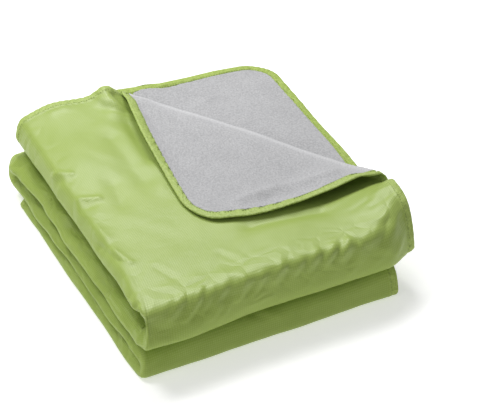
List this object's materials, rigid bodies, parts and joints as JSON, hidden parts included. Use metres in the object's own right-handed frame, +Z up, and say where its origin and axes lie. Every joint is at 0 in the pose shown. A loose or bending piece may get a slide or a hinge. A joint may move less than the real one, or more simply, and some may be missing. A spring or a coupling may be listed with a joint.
{
  "type": "folded camping blanket",
  "caption": "Fleece-lined outdoor blanket with a woven water-repellent shell, folded into a soft rectangular stack with a corner of its top layer turned back over it.",
  "frame": {"origin": "middle of the stack's bounding box, on the surface that it rests on", "axes": "+Z up from the surface, +Y towards the stack's back where the hems of its top panel lie, +X towards its open right side"},
  "size_m": [0.5422, 0.598, 0.1643],
  "materials": {
    "shell": "light green ripstop, soft sheen",
    "lining": "pale grey brushed fleece, matte"
  },
  "bodies": {
    "root": {"shell": "shell", "lining": "lining"}
  },
  "joints": []
}
